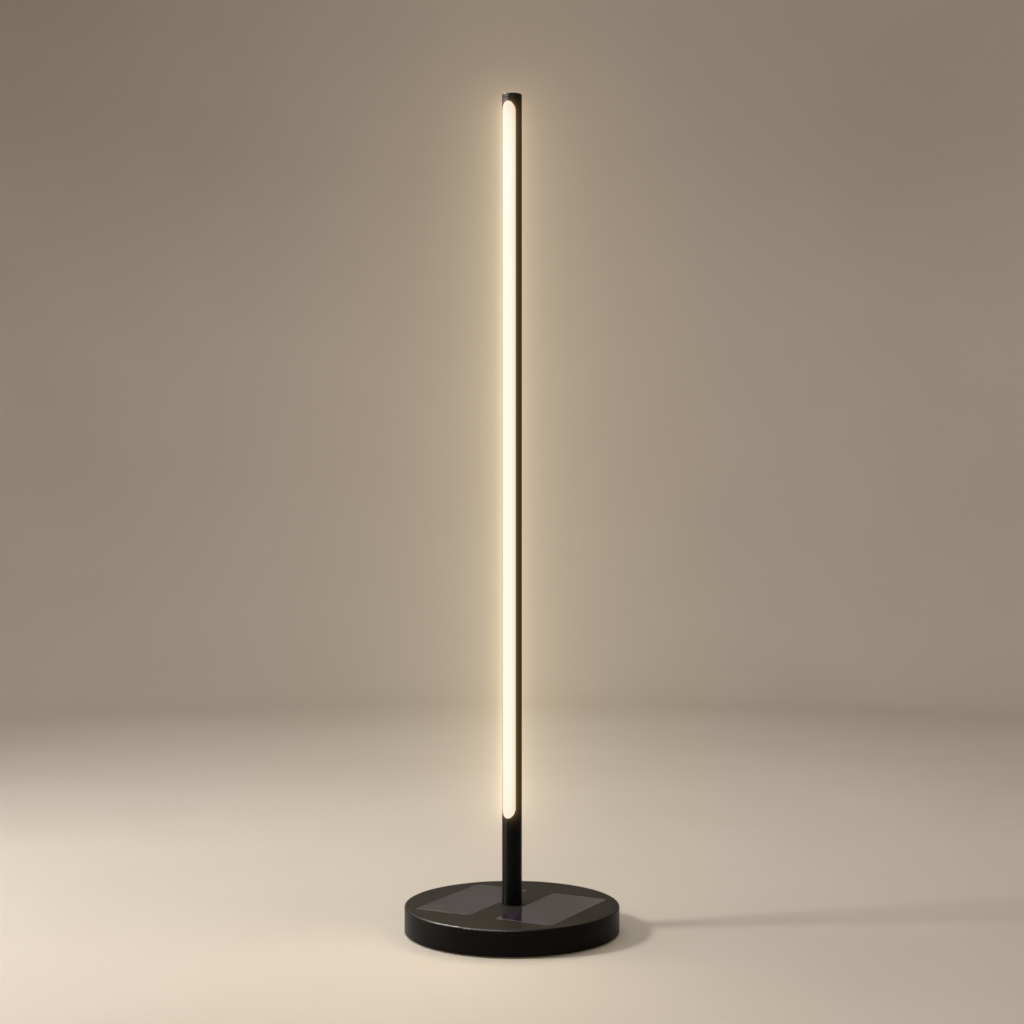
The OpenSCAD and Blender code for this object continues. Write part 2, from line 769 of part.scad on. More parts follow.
module pole_set_screws()
    color(steel) for (z = [set_screw_low_z, set_screw_high_z])
        translate([0, tube_r - screw_sunk, z]) set_screw(set_screw_d, set_screw_l);

// Opal lens: a pad that fills the slot, on a shell that lies against the inside of the tube
module lens()
    color(opal) difference() {
        union() {
            intersection() {
                translate([0, 0, lens_low_z]) cylinder(r = lens_shell_r, h = carrier_top_z - lens_low_z);
                translate([-tube_d, -tube_d, 0]) cube([2 * tube_d, tube_d + lens_edge_y, lamp_h]);
            }
            intersection() {
                cylinder(r = lens_face_r, h = lamp_h);
                along_y(-tube_d, lens_edge_y)
                    polygon(slot_outline(slot_half_w - lens_gap, slot_low_z + lens_gap,
                        slot_high_z - lens_gap, slot_end - lens_gap));
            }
        }
        cylinder(r = lens_bore_r, h = lamp_h);
    }

// D-shaped outline whose flat front lies at the given Y
module d_outline(r, front_y)
    intersection() {
        circle(r);
        translate([-r, front_y]) square([2 * r, 2 * r]);
    }

// Aluminium bar behind the lens, with a flat front for the LEDs and a hollow back
module led_carrier()
    color(aluminium) difference() {
        translate([0, 0, carrier_z]) linear_extrude(carrier_top_z - carrier_z) difference() {
            d_outline(carrier_r, -carrier_front);
            d_outline(cavity_r, cavity_front);
        }
        translate([0, 0, cap_screw_z]) rod_y(set_screw_d / 2 + screw_gap, tube_d);
    }

module led_board()
    color(white_plastic) translate([-led_board_w / 2, -carrier_front - led_board_t, led_board_low_z])
        cube([led_board_w, led_board_t, led_board_high_z - led_board_low_z]);

module led_chips()
    color([1, 0.85, 0.4]) for (i = [0 : led_count - 1])
        translate([-led_w / 2, -carrier_front - led_board_t - led_t, led_first_z + i * led_pitch - led_l / 2])
            cube([led_w, led_t, led_l]);

// Plug between the spigot and the carrier, with a tongue up the carrier's hollow and a way
// through for the LED lead
module carrier_foot()
    color(white_plastic) difference() {
        union() {
            translate([0, 0, spigot_top_z]) cylinder(r = spigot_r, h = carrier_foot_h);
            translate([0, 0, carrier_z - cut])
                linear_extrude(carrier_tongue_h + cut) d_outline(tongue_r, tongue_front + lead_d);
        }
        translate([0, 0, spigot_top_z - cut]) linear_extrude(carrier_foot_h + 2 * cut)
            translate([0, led_lead_end_y / 2])
                rounded_rect(2 * lead_d, 2 * lead_d - led_lead_end_y, 0.9 * lead_d);
    }

module top_cap()
    color(black_paint) difference() {
        union() {
            rotate_extrude() difference() {
                union() {
                    translate([0, tube_top_z]) square([tube_r, cap_head_h]);
                    translate([0, cap_plug_z]) square([cap_plug_r, cap_plug_h + cap_head_h / 2]);
                }
                corner_waste(tube_r, lamp_h, cap_edge_r, 1, 1);
                translate([cap_groove_r, cap_seal_z - cap_groove_w / 2]) square([tube_r, cap_groove_w]);
            }
            translate([0, 0, cap_plug_z - cap_leg_l])
                linear_extrude(cap_leg_l + cut) d_outline(tongue_r, tongue_front);
        }
        translate([0, 0, cap_screw_z]) rod_y(set_screw_d / 2 + thread_gap, tube_d);
        seam_cut();
    }

module cap_seal()
    color(rubber_black) translate([0, 0, cap_seal_z]) ring_seal(tube_inner_r, cap_seal_t);

module cap_screw()
    color(steel) translate([0, tube_r - screw_sunk, cap_screw_z]) set_screw(set_screw_d, set_screw_l);

module panel_sheet(side, w, l, z, t)
    translate([side * panel_centre_x, 0, z]) linear_extrude(t) rounded_rect(w, l, panel_corner_r);

module panel_glass(side)
    color(dark_glass) panel_sheet(side, glass_w, glass_l, glass_z, glass_t);

// Sheet of solar cells in rows and columns
module panel_cells(side) {
    field_w = glass_w - 2 * cell_border;
    field_l = glass_l - 2 * cell_border;
    cell_w = (field_w - (cell_columns - 1) * cell_split) / cell_columns;
    cell_l = (field_l - (cell_rows - 1) * cell_split) / cell_rows;
    color(cell_blue) translate([side * panel_centre_x - field_w / 2, -field_l / 2, cell_layer_z])
        for (i = [0 : cell_columns - 1], j = [0 : cell_rows - 1])
            translate([i * (cell_w + cell_split), j * (cell_l + cell_split), 0])
                cube([cell_w, cell_l, cell_layer_t]);
}

module panel_board(side)
    color(backing_grey) panel_sheet(side, glass_w, glass_l, panel_board_z, panel_board_t);

module panel_seal(side)
    color(seal_grey) difference() {
        panel_sheet(side, glass_w, glass_l, seal_z, seal_t);
        translate([side * panel_centre_x - glass_w / 2 + seal_w, -glass_l / 2 + seal_w, seal_z - cut])
            cube([glass_w - 2 * seal_w, glass_l - 2 * seal_w, seal_t + 2 * cut]);
    }

// Tinned strip under the glass of each panel, at the inner corner of one end. The two panels are
// alike, and one is turned half round.
module panel_tabs()
    color(steel) for (side = [left, right])
        translate([side * (panel_inset + panel_gap + cell_border / 2 + tab_l / 2),
            side * (cell_border - glass_l) / 2, cell_layer_z + cell_layer_t / 2])
            cube([tab_l, tab_w, cell_layer_t], center = true);

// Leads from the panels to the outer sockets on the circuit board
module panel_leads()
    color(lead_black) for (side = [left, right])
        lead([[side * panel_centre_x, 0, panel_board_z],
            [side * panel_centre_x, 0, ceiling_z],
            [side * (panel_centre_x - 1), 3, ceiling_z - 4],
            [side * (panel_centre_x - 14), 35, ceiling_z - 7],
            [side * 30, board_front_y - 24, lead_board_z + 2],
            [side * connector_x[3], lead_board_y - 7, lead_board_z],
            [side * connector_x[3], lead_board_y, lead_board_z]],
            [side * 0.9, 0.45, 0], lead_d);

// Lead from the circuit board through the hub's window and up the spigot to the LED board
module led_lead()
    color(lead_black)
        lead([[connector_x[1], lead_board_y, lead_board_z],
            [connector_x[1], lead_board_y - 6, lead_board_z],
            [0, hub_r + 20, window_low_z + 4],
            [0, hub_r, window_low_z + 4],
            [0, stem_r, window_low_z + 4],
            [0, 4.5, window_low_z + 5],
            [0, 1, window_low_z + 10],
            [0, 0, seat_z - 4],
            [0, 0, seat_z + 20],
            [0, 0, spigot_top_z - 8],
            [0, -1.5, spigot_top_z - 1],
            [0, led_lead_end_y + 1, spigot_top_z + carrier_foot_h],
            [0, led_lead_end_y, carrier_z + 8],
            [0, led_lead_end_y, carrier_z + 30],
            [0, led_lead_end_y, led_board_low_z - 16],
            [0, led_lead_end_y, led_board_low_z + 4]],
            [1, 0, 0], lead_d);

// Lead from the battery round the hub to the circuit board
module battery_lead()
    color([0.7, 0.1, 0.08])
        lead([[tray_w / 2, tray_back_y - tray_l / 3, tray_z + 8],
            [tray_w / 2 + 4, tray_back_y - tray_l / 3, tray_z + 8],
            [tray_w / 2 + 12, tray_back_y - tray_l / 6, tray_z + 7],
            [tray_w / 2 + 8, tray_back_y + 12, tray_z + 6],
            [hub_r + 20, 0, tray_z + 5],
            [hub_r + 12, hub_r + 12, tray_z + 6],
            [connector_x[2] + 4, board_front_y - 20, lead_board_z],
            [connector_x[2], lead_board_y - 6, lead_board_z],
            [connector_x[2], lead_board_y, lead_board_z]],
            [0, 0, 1], lead_d);

// Places its children at the axis of each battery cell, which lies along X
module on_battery_cells(z)
    for (i = [0 : battery_count - 1])
        translate([0, tray_centre_y + (i - (battery_count - 1) / 2) * battery_pitch, z]) children();

module battery_tray() {
    cradle_r = battery_d / 2 + battery_gap / 4;
    color(white_plastic) difference() {
        union() {
            translate([-tray_w / 2, tray_centre_y - tray_l / 2, tray_z]) cube([tray_w, tray_l, tray_h]);
            translate([0, tray_centre_y, tray_z]) linear_extrude(tray_ear_t)
                rounded_rect(tray_w + 2 * tray_ear_w, 2 * tray_ear_w, tray_ear_w / 2);
        }
        on_battery_cells(tray_z + tray_floor_t + cradle_r)
            translate([-battery_l / 2 - battery_gap, 0, 0]) rod_x(cradle_r, battery_l + 2 * battery_gap);
        on_tray_holes() translate([0, 0, tray_z - cut])
            cylinder(r = small_screw_d / 2 + screw_gap, h = tray_ear_t + 2 * cut);
    }
}

module battery_cells()
    color(battery_wrap) on_battery_cells(tray_z + tray_floor_t + battery_d / 2)
        translate([-battery_l / 2, 0, 0]) {
            rod_x(battery_d / 2, battery_l - battery_nub_h);
            rod_x(battery_d / 6, battery_l);
        }

module tray_screws()
    color(steel) on_tray_holes() translate([0, 0, tray_z + tray_ear_t])
        cheese_head_screw(small_screw_d, tray_ear_t + small_screw_grip, small_head_d, small_head_h);

module control_board()
    color(board_green) difference() {
        translate([-board_w / 2, board_front_y, board_z]) cube([board_w, board_l, board_t]);
        translate([button_x - board_notch_w / 2, board_notch_y, board_z - cut])
            cube([board_notch_w, board_l, board_t + 2 * cut]);
        on_board_holes() translate([0, 0, board_z - cut])
            cylinder(r = small_screw_d / 2 + screw_gap, h = board_t + 2 * cut);
    }

module board_standoffs()
    color(brass) on_board_holes() translate([0, 0, tray_z]) difference() {
        cylinder(d = standoff_d, h = standoff_h);
        translate([0, 0, -cut]) cylinder(r = small_screw_d / 2 + screw_gap, h = standoff_h + 2 * cut);
    }

module board_screws()
    color(steel) on_board_holes() translate([0, 0, board_top_z])
        cheese_head_screw(small_screw_d, board_t + standoff_h + small_screw_grip, small_head_d, small_head_h);

// Sockets for the leads, and the charger's coil, capacitor and chips
module board_parts()
    translate([0, 0, board_top_z]) {
        color(white_plastic) for (x = connector_x)
            translate([x - connector_l / 2, connector_y, 0]) cube([connector_l, connector_l, connector_h]);
        color(rubber_black) {
            translate([-8, board_front_y + 22, 0]) cylinder(r = 5, h = 4.5);
            translate([6, board_front_y + 18, 0]) cube([7, 7, 1]);
            translate([-3, board_back_y - 16, 0]) cube([5, 4, 1.2]);
        }
        color(aluminium) translate([-20, board_front_y + 30, 0]) cylinder(r = 3, h = 6);
        color(white_plastic) translate([-0.8, board_back_y - 3, 0]) cube([1.6, 1.6, 0.7]);
    }

// Steel shell of the charging socket, with the tongue inside it
module usb_socket() {
    shell_t = 0.3;
    inner_h = usb_h - 2 * shell_t;
    inner_w = usb_w - 2 * shell_t;
    mouth_y = usb_back_y + usb_l;
    tongue_t = 0.7;
    translate([port_x, 0, control_z]) {
        color(steel) difference() {
            along_y(usb_back_y, mouth_y) rounded_rect(usb_w, usb_h, usb_h * 0.4);
            along_y(usb_back_y + 1, mouth_y + cut) rounded_rect(inner_w, inner_h, inner_h * 0.4);
        }
        color(rubber_black) translate([-inner_w * 0.4, usb_back_y + 1 - shell_t, -tongue_t / 2])
            cube([inner_w * 0.8, usb_l - 2, tongue_t]);
    }
}

// Body of the switch behind the button, with the bore that its plunger slides in
module switch_body()
    color(rubber_black) difference() {
        translate([button_x - switch_w / 2, switch_front_y - switch_l, board_top_z])
            cube([switch_w, switch_l, switch_h]);
        translate([button_x, switch_front_y - switch_l + 1, control_z])
            rod_y(plunger_r + plunger_gap, switch_l);
    }

module switch_plunger()
    color(white_plastic) translate([button_x, button_stem_y - plunger_l, control_z])
        rod_y(plunger_r, plunger_l);

// Outline of the button from its axis, with its face up
module button_profile() {
    face = button_face_y - button_stem_y;
    lip = button_lip_y - button_lip_t - button_stem_y;
    groove = button_groove_y - button_groove_w / 2 - button_stem_y;
    dish_r = 3 * button_r;
    dish_depth = 0.5;
    difference() {
        union() {
            square([button_stem_r, face / 2]);
            translate([0, lip]) square([button_lip_r, button_lip_t]);
            translate([0, lip]) square([button_r, face - lip]);
        }
        corner_waste(button_r, face, button_edge_r, 1, 1);
        translate([button_groove_r, groove]) square([button_r, button_groove_w]);
        translate([0, face - dish_depth + dish_r]) circle(dish_r, $fn = broad);
    }
}

module power_button()
    color(black_paint) translate([button_x, button_stem_y, control_z])
        rotate([-90, 0, 0]) rotate_extrude() intersection() {
            button_profile();
            square([button_d, button_d]);
        }

module button_seal()
    color(rubber_black) translate([button_x, button_groove_y, control_z])
        rotate([-90, 0, 0]) ring_seal(button_groove_r + button_seal_section, button_seal_section);

module status_lens()
    color([0.7, 0.85, 0.7]) {
        translate([0, status_low_y, control_z])
            rod_y(status_d / 2, status_flange_t + recess_wall + status_proud);
        translate([0, status_low_y, control_z]) rod_y(status_d / 2 + status_flange_w, status_flange_t);
    }

// Door of the charging port, with a knuckle along its top and a lip to lift it by
module port_door() {
    door_outer_y = door_inner_y + door_t;
    plate_h = door_top_z - door_low_z;
    color(black_paint) difference() {
        union() {
            along_y(door_inner_y, door_outer_y)
                translate([port_x, door_low_z + plate_h / 2]) rounded_rect(door_w, plate_h, door_corner_r);
            translate([port_x - knuckle_w / 2, hinge_y, hinge_z]) rod_x(hinge_r, knuckle_w);
            translate([port_x - knuckle_w / 2, door_inner_y, door_top_z - hinge_r])
                cube([knuckle_w, door_t, hinge_z - door_top_z + hinge_r]);
            translate([port_x - door_w / 6, door_outer_y - 0.4, door_low_z + 1]) rod_x(0.8, door_w / 3);
        }
        translate([port_x - door_w, hinge_y, hinge_z]) rod_x(door_pin_d / 2 + pin_bore_gap, 2 * door_w);
    }
}

module door_seal()
    color(seal_grey) along_y(door_inner_y - door_seal_t, door_inner_y)
        translate([port_x, control_z]) rounded_rect(door_seal_w, door_seal_h, door_corner_r);

module door_pin() {
    pin_l = knuckle_w + 2 * hinge_play + 2 * lug_w;
    color(steel) translate([port_x - pin_l / 2, hinge_y, hinge_z]) rod_x(door_pin_d / 2, pin_l);
}

base_housing();
base_plate();
plate_gasket();
plate_screws();
rubber_feet();
ballast();
pole_tube();
pole_spigot();
spigot_seal();
spigot_washer();
spigot_nut();
pole_set_screws();
lens();
led_carrier();
led_board();
led_chips();
carrier_foot();
top_cap();
cap_seal();
cap_screw();
panel_glass(left);  // left_panel_glass
panel_cells(left);  // left_panel_cells
panel_board(left);  // left_panel_board
panel_seal(left);  // left_panel_seal
panel_glass(right);  // right_panel_glass
panel_cells(right);  // right_panel_cells
panel_board(right);  // right_panel_board
panel_seal(right);  // right_panel_seal
panel_tabs();
panel_leads();
led_lead();
battery_lead();
battery_tray();
battery_cells();
tray_screws();
control_board();
board_standoffs();
board_screws();
board_parts();
usb_socket();
switch_body();
switch_plunger();
power_button();
button_seal();
status_lens();
port_door();
door_seal();
door_pin();
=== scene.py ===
"""Solar floor lamp: finishes for the CAD parts, glass and sealant of the panels, studio and camera.

Lengths are in metres, angles in degrees until they are used, and colours are the 0-255 values
that a picture would show.
"""

import json
import math

import bmesh
import bpy
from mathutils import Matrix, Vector


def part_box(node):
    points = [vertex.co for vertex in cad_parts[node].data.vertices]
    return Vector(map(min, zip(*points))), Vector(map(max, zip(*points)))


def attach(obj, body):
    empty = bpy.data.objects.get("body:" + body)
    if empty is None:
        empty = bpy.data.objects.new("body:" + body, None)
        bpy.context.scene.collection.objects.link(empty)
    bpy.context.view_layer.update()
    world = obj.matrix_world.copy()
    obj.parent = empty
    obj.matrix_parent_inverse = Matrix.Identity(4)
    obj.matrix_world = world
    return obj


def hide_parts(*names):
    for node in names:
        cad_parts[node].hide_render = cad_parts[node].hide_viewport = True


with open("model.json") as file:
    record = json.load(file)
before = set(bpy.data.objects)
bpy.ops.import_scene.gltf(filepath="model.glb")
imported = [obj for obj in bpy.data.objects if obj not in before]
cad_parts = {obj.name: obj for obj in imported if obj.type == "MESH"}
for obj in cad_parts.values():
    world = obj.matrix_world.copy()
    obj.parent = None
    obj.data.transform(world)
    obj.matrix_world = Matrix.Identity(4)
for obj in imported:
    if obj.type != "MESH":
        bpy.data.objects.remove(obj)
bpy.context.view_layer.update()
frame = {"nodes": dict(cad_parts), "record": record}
nodes = frame["nodes"]

MM = 0.001

# The camera stands level, turned from the lamp's front towards its right.
camera_azimuth = 28
camera_distance = 2.44
camera_height = 0.6013
camera_lens = 59.76
camera_sensor = 36.0


def linear(red, green, blue):
    """The linear colour, with full alpha, of a 0-255 picture colour."""
    channels = [value / 255 for value in (red, green, blue)]
    curved = [c / 12.92 if c <= 0.04045 else ((c + 0.055) / 1.055) ** 2.4 for c in channels]
    return (*curved, 1.0)


def grey(level):
    """A colour for a socket or a stop that holds a plain factor."""
    return (level, level, level, 1.0)


class Surface:
    """A procedural material: a Principled shader and short calls for the nodes that feed it."""

    def __init__(self, name, colour, roughness, **constants):
        self.material = bpy.data.materials.new(name)
        self.material.use_nodes = True
        self.tree = self.material.node_tree
        self.shader = self.tree.nodes["Principled BSDF"]
        self.colour = colour
        self.shader.inputs["Base Color"].default_value = colour
        self.shader.inputs["Roughness"].default_value = roughness
        for socket, value in constants.items():
            self.shader.inputs[socket.replace("_", " ")].default_value = value
        self.place = self.tree.nodes.new("ShaderNodeTexCoord").outputs["Object"]
        self.material.diffuse_color = colour
        self.material.roughness = roughness

    def join(self, source, socket):
        """Links an output to an input, or writes a plain value on the input."""
        if isinstance(source, bpy.types.NodeSocket):
            self.tree.links.new(source, socket)
        else:
            socket.default_value = source

    def feed(self, name, source):
        """Gives one input of the shader its value."""
        self.join(source, self.shader.inputs[name])

    def stretched(self, x, y, z):
        """Object coordinates scaled by x, y and z, to draw a pattern out along one direction."""
        node = self.tree.nodes.new("ShaderNodeMapping")
        node.inputs["Scale"].default_value = (x, y, z)
        self.join(self.place, node.inputs["Vector"])
        return node.outputs["Vector"]

    def noise(self, size, detail=2.0, rough=0.5, place=None):
        """Soft noise whose blotches are about this size, in metres."""
        node = self.tree.nodes.new("ShaderNodeTexNoise")
        node.inputs["Scale"].default_value = 1 / size
        node.inputs["Detail"].default_value = detail
        node.inputs["Roughness"].default_value = rough
        self.join(place or self.place, node.inputs["Vector"])
        return node.outputs["Fac"]

    def grains(self, size, output="Distance", place=None):
        """Voronoi grains of about this size, in metres."""
        node = self.tree.nodes.new("ShaderNodeTexVoronoi")
        node.inputs["Scale"].default_value = 1 / size
        self.join(place or self.place, node.inputs["Vector"])
        return node.outputs[output]

    def ramp(self, factor, *stops):
        """A colour ramp through (position, colour) stops."""
        node = self.tree.nodes.new("ShaderNodeValToRGB")
        ramp = node.color_ramp
        while len(ramp.elements) < len(stops):
            ramp.elements.new(1.0)
        for element, (position, colour) in zip(ramp.elements, stops):
            element.position = position
            element.color = colour
        self.join(factor, node.inputs["Fac"])
        return node.outputs["Color"]

    def between(self, factor, low, high, from_low=0.3, from_high=0.7):
        """Maps a factor's middle range to a range of plain values."""
        node = self.tree.nodes.new("ShaderNodeMapRange")
        node.inputs["From Min"].default_value = from_low
        node.inputs["From Max"].default_value = from_high
        node.inputs["To Min"].default_value = low
        node.inputs["To Max"].default_value = high
        self.join(factor, node.inputs["Value"])
        return node.outputs["Result"]

    def maths(self, operation, *factors):
        """One operation on plain factors, under Blender's name for it."""
        node = self.tree.nodes.new("ShaderNodeMath")
        node.operation = operation
        for index, factor in enumerate(factors):
            self.join(factor, node.inputs[index])
        return node.outputs["Value"]

    def mixed(self, factor, first, second, blend="MIX"):
        """Two colours blended: the first alone at factor 0, the second laid fully over it at 1."""
        node = self.tree.nodes.new("ShaderNodeMix")
        node.data_type = "RGBA"
        node.blend_type = blend
        self.join(factor, node.inputs["Factor"])
        self.join(first, node.inputs["A"])
        self.join(second, node.inputs["B"])
        return node.outputs["Result"]

    def axes(self):
        """The x, y and z of a point on the object, in metres."""
        node = self.tree.nodes.new("ShaderNodeSeparateXYZ")
        self.join(self.place, node.inputs["Vector"])
        return node.outputs["X"], node.outputs["Y"], node.outputs["Z"]

    def upward(self):
        """How far the surface faces up, from -1 to 1, in the object's own axes."""
        geometry = self.tree.nodes.new("ShaderNodeTexCoord")
        node = self.tree.nodes.new("ShaderNodeSeparateXYZ")
        self.join(geometry.outputs["Normal"], node.inputs["Vector"])
        return node.outputs["Z"]

    def bump(self, height, depth, strength=1.0, over=None):
        """Raises the surface by depth metres where height is 1, on top of an earlier bump."""
        node = self.tree.nodes.new("ShaderNodeBump")
        node.inputs["Strength"].default_value = strength
        node.inputs["Distance"].default_value = depth
        self.join(height, node.inputs["Height"])
        if over is not None:
            self.join(over, node.inputs["Normal"])
        self.feed("Normal", node.outputs["Normal"])
        return node.outputs["Normal"]

    def lines(self, along, pitch, width):
        """1 on lines of this width that repeat every pitch metres of a coordinate, 0 between."""
        steps = self.maths("DIVIDE", along, pitch)
        phase = self.maths("FRACT", steps)
        away = self.maths("ABSOLUTE", self.maths("SUBTRACT", phase, 0.5))
        return self.maths("LESS_THAN", away, width / pitch / 2)


def shade(colour, factor):
    """A lighter or darker version of a linear colour."""
    return (*(min(1.0, channel * factor) for channel in colour[:3]), 1.0)


def wear(surface, blotch, spread, roughness, roughness_spread):
    """Slow changes of tone and gloss over the surface, such as handling and settled dust leave."""
    slow = surface.noise(blotch, detail=4.0, rough=0.6)
    darker = shade(surface.colour, 1 - spread)
    lighter = shade(surface.colour, 1 + spread)
    surface.feed("Base Color", surface.ramp(slow, (0.3, darker), (0.7, lighter)))
    quick = surface.noise(blotch / 5, detail=3.0)
    low = roughness - roughness_spread
    high = roughness + roughness_spread
    surface.feed("Roughness", surface.between(quick, low, high))


def powder_coat():
    """Satin powder coat: near-black brown, a fine orange-peel skin and a trace of dust on top,
    which also takes the shine down. The dust's warm brown is partly a painted reflection of warm
    surroundings, which makes the upward faces lighter and browner."""
    paint = linear(14, 11, 9)
    surface = Surface("powder_coat", paint, 0.33, Specular_IOR_Level=0.07)
    slow = surface.noise(0.09, detail=4.0, rough=0.6)
    # Real dust on the upward faces, its warm brown partly a painted reflection of warm
    # surroundings.
    dust_and_warm_reflection = surface.ramp(slow, (0.35, linear(33, 25, 9)), (0.75, linear(40, 31, 13)))
    fresh = surface.ramp(slow, (0.3, shade(paint, 0.85)), (0.7, shade(paint, 1.15)))
    # The upward faces, which take both the dust and the painted warm reflection.
    settled_dust_and_reflection = surface.between(surface.upward(), 0.0, 0.75, 0.6, 1.0)
    specks = surface.noise(1.1 * MM)
    cover = surface.maths("MULTIPLY", settled_dust_and_reflection, surface.between(specks, 0.55, 1.0, 0.35, 0.65))
    surface.feed("Base Color", surface.mixed(cover, fresh, dust_and_warm_reflection))
    gloss = surface.noise(0.018, detail=3.0)
    roughness = surface.between(gloss, 0.32, 0.35)
    surface.feed("Roughness", surface.maths("MULTIPLY_ADD", settled_dust_and_reflection, 0.09, roughness))
    skin = surface.bump(surface.noise(1.6 * MM, detail=1.0), 0.012 * MM, 0.3)
    surface.bump(surface.noise(0.35 * MM, detail=1.0), 0.003 * MM, 0.3, over=skin)
    return surface.material


def moulded(name, colour, roughness, grain=0.4 * MM, **constants):
    """Moulded plastic with a spark-eroded grain."""
    surface = Surface(name, colour, roughness, **constants)
    wear(surface, 0.02, 0.08, roughness, 0.05)
    surface.bump(surface.noise(grain), 0.02 * MM, 0.5)
    return surface.material


def rubber(name, colour, roughness=0.78):
    """Moulded rubber: matt, a little bloomed, with a fine skin."""
    surface = Surface(name, colour, roughness, Specular_IOR_Level=0.35)
    wear(surface, 0.012, 0.2, roughness, 0.08)
    skin = surface.bump(surface.noise(2.5 * MM, detail=3.0), 0.06 * MM, 0.4)
    surface.bump(surface.grains(0.3 * MM), 0.015 * MM, 0.4, over=skin)
    return surface.material


def zinc_plate():
    """Zinc-plated steel: a fine rolled grain under soft spangles."""
    colour = linear(176, 177, 180)
    surface = Surface("zinc_steel", colour, 0.36, Metallic=1.0)
    spangle = surface.grains(7 * MM, output="Color")
    tone = surface.ramp(spangle, (0.2, shade(colour, 0.86)), (0.8, shade(colour, 1.08)))
    surface.feed("Base Color", tone)
    rolled = surface.noise(0.8 * MM, detail=3.0, place=surface.stretched(0.04, 1.0, 1.0))
    surface.feed("Roughness", surface.between(rolled, 0.27, 0.47))
    surface.bump(rolled, 0.01 * MM, 0.3)
    return surface.material


def turned_metal(name, colour, roughness, stretch):
    """Metal with fine tool marks drawn out along one direction."""
    surface = Surface(name, colour, roughness, Metallic=1.0)
    marks = surface.noise(0.5 * MM, detail=4.0, rough=0.65, place=surface.stretched(*stretch))
    surface.feed("Roughness", surface.between(marks, roughness - 0.08, roughness + 0.12))
    stain = surface.noise(8 * MM, detail=3.0)
    tone = surface.ramp(stain, (0.3, shade(colour, 0.88)), (0.7, shade(colour, 1.06)))
    surface.feed("Base Color", tone)
    surface.bump(marks, 0.008 * MM, 0.35)
    return surface.material


def cast_iron():
    """Rough cast iron with a sanded, faintly rusty skin."""
    colour = linear(72, 70, 69)
    brownish = linear(84, 72, 62)
    rusty = linear(98, 70, 52)
    surface = Surface("cast_iron", colour, 0.7, Metallic=0.6)
    rust = surface.noise(14 * MM, detail=6.0, rough=0.65)
    tone = surface.ramp(rust, (0.35, colour), (0.62, brownish), (0.8, rusty))
    surface.feed("Base Color", tone)
    surface.feed("Roughness", surface.between(rust, 0.6, 0.85))
    sand = surface.bump(surface.grains(0.7 * MM), 0.12 * MM, 0.6)
    surface.bump(surface.noise(5 * MM), 0.3 * MM, 0.4, over=sand)
    return surface.material


# The lit lens as a picture shows it, from its tips inwards over the length of the fade, and the
# share of red, green and blue that is left near its long edges and at their rim.
lens_tip = linear(246, 228, 205)
lens_cream = linear(253, 243, 220)
lens_glow = linear(254, 250, 229)
lens_end_fade = 80 * MM
lens_edge = (0.95, 0.9, 0.86, 1.0)
lens_rim = (0.78, 0.66, 0.55, 1.0)
lens_strength = 0.97


def lit_lens():
    """Opal diffuser, lit from inside: even along its length, a little dimmer and warmer at the
    two ends and along the edges, where the LEDs are further away."""
    low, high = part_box("lens")
    half_width = (high.x - low.x) / 2
    surface = Surface("opal_lens", linear(58, 57, 54), 0.42, Specular_IOR_Level=0.05)
    x, _, z = surface.axes()
    from_bottom = surface.maths("SUBTRACT", z, low.z)
    from_top = surface.maths("SUBTRACT", high.z, z)
    from_end = surface.maths("MINIMUM", from_bottom, from_top)
    lengthwise = surface.maths("DIVIDE", from_end, lens_end_fade)
    along = surface.ramp(lengthwise, (0.12, lens_tip), (0.38, lens_cream), (1.0, lens_glow))
    sideways = surface.maths("DIVIDE", surface.maths("ABSOLUTE", x), half_width)
    across = surface.ramp(sideways, (0.45, grey(1.0)), (0.7, lens_edge), (0.95, lens_rim))
    haze = surface.between(surface.noise(24 * MM), 0.98, 1.0)
    light = surface.mixed(1.0, surface.mixed(1.0, along, across, "MULTIPLY"), haze, "MULTIPLY")
    surface.feed("Emission Color", light)
    surface.feed("Emission Strength", lens_strength)
    surface.feed("Roughness", surface.between(surface.noise(3 * MM), 0.38, 0.5))
    surface.bump(surface.noise(0.4 * MM, detail=1.0), 0.01 * MM, 0.3)
    return surface.material


def cover_glass():
    """Tinted cover glass with a satin, faintly rolled face that mirrors little."""
    colour = linear(212, 208, 214)
    surface = Surface("cover_glass", colour, 0.13, Transmission_Weight=1.0, IOR=1.33,
                      Specular_IOR_Level=0.08)
    clouds = surface.noise(18 * MM, detail=5.0, rough=0.6)
    surface.feed("Roughness", surface.between(clouds, 0.11, 0.15))
    surface.feed("Base Color", surface.ramp(clouds, (0.3, shade(colour, 0.9)), (0.7, colour)))
    rolled = surface.bump(surface.noise(6 * MM), 0.01 * MM, 0.4)
    surface.bump(surface.noise(0.6 * MM, detail=1.0), 0.003 * MM, 0.4, over=rolled)
    return surface.material


def frosted_edge():
    """The edges of the cover glass: ground, so matt and whitish."""
    surface = Surface("ground_edge", linear(126, 122, 124), 0.6, Specular_IOR_Level=0.3)
    scratches = surface.noise(1.2 * MM, detail=4.0, rough=0.6)
    tone = surface.ramp(scratches, (0.3, linear(112, 108, 110)), (0.7, linear(140, 136, 138)))
    surface.feed("Base Color", tone)
    surface.feed("Roughness", surface.between(scratches, 0.55, 0.7))
    surface.bump(scratches, 0.01 * MM, 0.4)
    return surface.material


# The silver printed on the cells: thin fingers across, and wider ribbons along. The covers are
# how much of the silver's colour a finger has beside a ribbon, and a ribbon beside bare silver.
finger_pitch = 1.5 * MM
finger_width = 0.1 * MM
finger_cover = 0.3
ribbon_pitch = 13.0 * MM
ribbon_width = 0.6 * MM
silver_cover = 0.22


